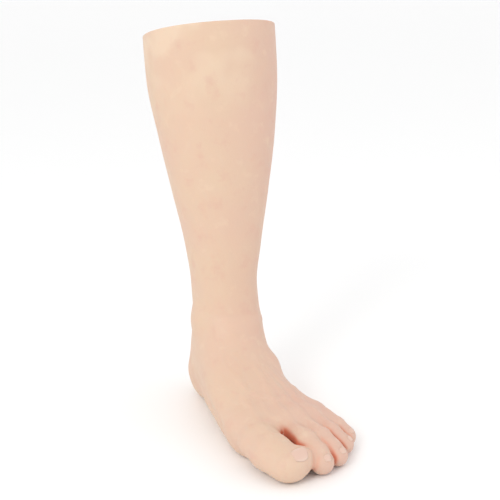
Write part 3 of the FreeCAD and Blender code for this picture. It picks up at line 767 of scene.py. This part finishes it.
row_points, row_edges = [], []
for drop in STITCH_ROWS:
    row = wall_point(angles, brim - drop, inside + 0.35) * 0.001
    first = len(row_points)
    row_points += [tuple(p) for p in row]
    row_edges += [(first + i, first + (i + 1) % TURNS) for i in range(TURNS)]
rows_mesh = bpy.data.meshes.new("stitch_rows")
rows_mesh.from_pydata(row_points, row_edges, [])
rows = bpy.data.objects.new("stitch_rows", rows_mesh)
bpy.context.scene.collection.objects.link(rows)
sewing = rows.modifiers.new("sewing", "NODES")
sewing.node_group = stitch_tree(thread_finish())
for item in sewing.node_group.interface.items_tree:
    if item.in_out == "INPUT" and item.name in STITCH:
        sewing[item.identifier] = STITCH[item.name]
sewn = bpy.data.meshes.new_from_object(rows.evaluated_get(bpy.context.evaluated_depsgraph_get()))
bpy.data.objects.remove(rows)
sewn.name = "brim_stitches"
stitches = bpy.data.objects.new("brim_stitches", sewn)
bpy.context.scene.collection.objects.link(stitches)
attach(stitches, "liner")

# ---- Foam cover ----------------------------------------------------------------------------
# A block of closed-cell foam, bored for the pylon and ground by hand to the calf's shape. The
# socket is glued into its top, and a channel at the back clears the two clamp lugs.

PYLON_Y, FOAM_LOW, PLATE_LOW, PLATE_RADIUS = 8, 82.5, 196.0, 31.5
BORE, CHANNEL, CHANNEL_HALF = 24.4, 4.8, 0.62
SKIN_TO_FOAM, FOAM_DROP = 2.9, 1.4


def ray_radius(angle, z, field, longest=90.0):
    """Distance from the pylon's axis to the field's surface."""
    low, high = np.zeros_like(z), np.full_like(z, longest)
    for _ in range(22):
        middle = (low + high) / 2
        within = field(middle * np.cos(angle), PYLON_Y + middle * np.sin(angle), z) < 0
        low, high = np.where(within, middle, low), np.where(within, high, middle)
    return low


def ray_point(z, r):
    """Ring of points round the pylon's axis."""
    r, z = np.broadcast_to(r, angles.shape), np.broadcast_to(z, angles.shape)
    return np.stack([r * np.cos(angles), PYLON_Y + r * np.sin(angles), z], -1)


def socket_form(x, y, z):
    """Distance from the socket's outside, in plan."""
    cy, medial, lateral, front, back = along(SOCKET, z - SOCKET_BOTTOM)
    return oval(x, y - cy, medial, lateral, front, back, 2.2, 2.2)


def foam_form(x, y, z):
    return skin_field(x, y, z) + SKIN_TO_FOAM


def ring_on(field, z):
    """Ring of points on a field's surface."""
    z = np.broadcast_to(z, angles.shape).astype(float)
    return ray_point(z, ray_radius(angles, z, field))


top_out, top_in = (rim_level(ring_on(form, RIM_Z - 3)[:, 1], FOAM_DROP) for form in (foam_form, socket_form))
foot_edge = FOAM_LOW + 0.8
channel = CHANNEL * np.exp(-((angles - math.pi / 2) / CHANNEL_HALF) ** 4)
crown = (ring_on(foam_form, top_out) + ring_on(socket_form, top_in)) / 2
crown[:, 2] += 0.5
# outside, crown, bed of the socket, recess of the plate, and the pylon's bore
rings = [ring_on(foam_form, foot_edge + (top_out - foot_edge) * t) for t in np.linspace(0, 1, 88)]
rings += [crown]
rings += [ring_on(socket_form, SOCKET_BOTTOM + (top_in - SOCKET_BOTTOM) * t) for t in np.linspace(1, 0, 44)]
rings += [ray_point(z, PLATE_RADIUS) for z in (SOCKET_BOTTOM, PLATE_LOW)]
rings += [ray_point(FOAM_LOW + (PLATE_LOW - FOAM_LOW) * t, BORE + channel) for t in np.linspace(1, 0, 38)]
foam = ring_solid("foam_cover_shaped", rings, closed=True)
foam.data.materials.append(foam_finish("cover_foam", (0.60, 0.43, 0.32), (0.66, 0.49, 0.37), 0.0014))
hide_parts("foam_cover")
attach(foam, "shank")

# ---- Foot moulding, its cap and keel --------------------------------------------------------
# A hardwood keel moulded into soft polyurethane foam, closed on top by a glued plastic plate.


def wood_finish():
    """Straight-grained hardwood: growth rings stretched along the foot, fine pores, sealer."""
    f = Finish("keel_wood", Specular_IOR_Level=0.4, Coat_Weight=0.2, Coat_Roughness=0.35)
    growth = f.node("TexWave", {"Vector": f.stretch(22, 2.2, 60), "Scale": 2.2, "Distortion": 3.5,
                                "Detail": 3.0}).outputs["Fac"]
    pores = f.noise(1, 3, at=f.stretch(900, 60, 900))
    base = f.mix(growth, (0.46, 0.29, 0.15), (0.60, 0.42, 0.24))
    f.colour(f.mix(f.span(pores, 0.55, 0.7, 0.0, 0.7), base, (0.28, 0.16, 0.08)))
    f.roughness(f.span(pores, 0.3, 0.7, 0.38, 0.55))
    f.bump(pores, 0.0001, 0.5)
    return f.material


def moulded_finish(name, dark, light, rough, pebble, depth=0.0001):
    """Moulded plastic or rubber: faint flow marks and a fine pebbled skin."""
    f = Finish(name, Specular_IOR_Level=0.4)
    flow = f.noise(1, 3, at=f.stretch(18, 18, 60))
    f.colour(f.mix(flow, dark, light))
    f.roughness(f.span(f.noise(240, 2), 0.3, 0.7, rough - 0.06, rough + 0.06))
    f.bump(f.cells(1 / pebble), depth, 0.4)
    return f.material


dress(wood_finish(), "keel")
dress(foam_finish("foot_foam", (0.50, 0.36, 0.25), (0.57, 0.42, 0.30), 0.0007), "foot_core")
dress(moulded_finish("cap_plastic", (0.34, 0.24, 0.16), (0.40, 0.29, 0.20), 0.5, 0.0009), "foot_cap")

# ---- Ankle unit: rubber bumpers and bearing bushes -------------------------------------------
# Two rubber blocks bonded to the yoke, firm in front and soft behind, and two flanged polymer
# bushes pressed into the rocker.

dress(moulded_finish("bumper_firm", (0.018, 0.018, 0.018), (0.030, 0.030, 0.030), 0.62, 0.0006),
      "front_bumper")
dress(moulded_finish("bumper_soft", (0.16, 0.030, 0.022), (0.21, 0.042, 0.030), 0.66, 0.0006),
      "rear_bumper")
dress(moulded_finish("bush_polymer", (0.055, 0.115, 0.070), (0.075, 0.150, 0.092), 0.42, 0.0004, 0.00004),
      "ankle_bushes")

# ---- Metal parts -------------------------------------------------------------------------
# Bead-blasted titanium yoke, rocker and pyramid plate; turned aluminium adapters; drawn,
# anodised tube; ground steel axle and washer; blackened steel screws and clips.


def blasted_finish(name, dark, light, rough, grain):
    """Blasted or tumbled metal: tiny craters, and slightly brighter where handled."""
    f = Finish(name, Metallic=1.0)
    worn = f.noise(40, 4, 0.6)
    f.colour(f.mix(f.span(worn, 0.3, 0.7), dark, light))
    f.roughness(f.span(worn, 0.3, 0.7, rough + 0.06, rough - 0.06))
    f.bump(f.noise(1 / grain, 3, 0.6), grain * 0.12, 0.5)
    return f.material


# how often tool marks repeat along x, y and z
ROUND_Z, ROUND_X, ALONG_Z = (25, 25, 3500), (3500, 25, 25), (2600, 2600, 14)


def turned_finish(name, dark, light, rough, tooling):
    """Turned, drawn or ground metal: fine marks round or along the part's axis."""
    f = Finish(name, Metallic=1.0)
    marks = f.noise(1, 3, 0.6, at=f.stretch(*tooling))
    stain = f.noise(30, 3)
    f.colour(f.mix(f.math("MULTIPLY", marks, f.span(stain, 0.2, 0.8, 0.6, 1.0)), dark, light))
    f.roughness(f.span(marks, 0.3, 0.7, rough - 0.07, rough + 0.09))
    f.bump(marks, 0.00003, 0.4)
    return f.material


dress(blasted_finish("blasted_titanium", (0.30, 0.29, 0.275), (0.42, 0.41, 0.39), 0.42, 0.0003),
      "ankle_yoke", "ankle_rocker", "socket_pyramid")
dress(turned_finish("turned_aluminium", (0.40, 0.41, 0.43), (0.58, 0.59, 0.61), 0.34, ROUND_Z),
      "upper_tube_adapter", "lower_tube_adapter")
dress(turned_finish("drawn_aluminium", (0.48, 0.49, 0.51), (0.66, 0.67, 0.69), 0.3, ALONG_Z),
      "pylon_tube")
dress(turned_finish("ground_steel", (0.44, 0.44, 0.45), (0.62, 0.62, 0.63), 0.24, ROUND_X),
      "ankle_axle", "foot_bolt_washer")
dress(blasted_finish("blackened_steel", (0.045, 0.045, 0.048), (0.11, 0.11, 0.115), 0.4, 0.0005),
      "axle_clips", "foot_bolt", "socket_anchor", "socket_screws", "upper_set_screws",
      "upper_clamp_screw", "lower_set_screws", "lower_clamp_screw")

# ---- Floor, lights and camera --------------------------------------------------------------
# A wide white floor in an all-white room, with one soft lamp high on the medial side and a
# weaker, larger one on the lateral side.

FLOOR_HALF = 60
floor_mesh = bpy.data.meshes.new("floor")
floor_mesh.from_pydata([(x * FLOOR_HALF, y * FLOOR_HALF, 0) for x, y in ((-1, -1), (1, -1), (1, 1), (-1, 1))],
                       [], [(0, 1, 2, 3)])
floor = bpy.data.objects.new("floor", floor_mesh)
bpy.context.scene.collection.objects.link(floor)
pale = bpy.data.materials.new("floor")
pale.use_nodes = True
pale.node_tree.nodes["Principled BSDF"].inputs["Base Color"].default_value = (0.97, 0.97, 0.97, 1)
floor.data.materials.append(pale)

world = bpy.data.worlds.new("studio")
bpy.context.scene.world = world
bpy.context.scene.view_settings.view_transform = "Standard"
world.use_nodes = True
world.node_tree.nodes["Background"].inputs["Color"].default_value = (1, 1, 1, 1)
world.node_tree.nodes["Background"].inputs["Strength"].default_value = 1.0


def area_light(name, place, width, watts, tint):
    """Round soft lamp turned to the middle of the leg."""
    light = bpy.data.lights.new(name, "AREA")
    light.shape, light.size, light.energy, light.color = "DISK", width, watts, tint
    lamp = bpy.data.objects.new(name, light)
    lamp.location = place
    lamp.rotation_euler = (LIT_POINT - Vector(place)).to_track_quat("-Z", "Y").to_euler()
    bpy.context.scene.collection.objects.link(lamp)


LIT_POINT = Vector((0, 0, 0.15))
area_light("key", (-1.3, -1.2, 1.3), 0.7, 10, (1.0, 0.985, 0.96))
area_light("fill", (1.4, -0.8, 0.8), 1.2, 1.5, (0.97, 0.98, 1.0))

CAMERA_AT, LENS, SENSOR = (-0.2984, -0.8861, 0.3906), 77.3, 36
heading, pitch, tilt = math.radians(-19.87), math.radians(14.63), math.radians(-1.81)
right = Vector((math.cos(heading), math.sin(heading), 0))
ahead = Vector((-math.sin(heading), math.cos(heading), 0))
forward = math.cos(pitch) * ahead - Vector((0, 0, math.sin(pitch)))
up = right.cross(forward)
right, up = math.cos(tilt) * right + math.sin(tilt) * up, math.cos(tilt) * up - math.sin(tilt) * right
camera_data = bpy.data.cameras.new("camera")
camera_data.sensor_width, camera_data.lens = SENSOR, LENS
camera = bpy.data.objects.new("camera", camera_data)
axes = Matrix((right, up, -forward)).transposed()
camera.matrix_world = Matrix.Translation(CAMERA_AT) @ axes.to_4x4()
bpy.context.scene.collection.objects.link(camera)
bpy.context.scene.camera = camera
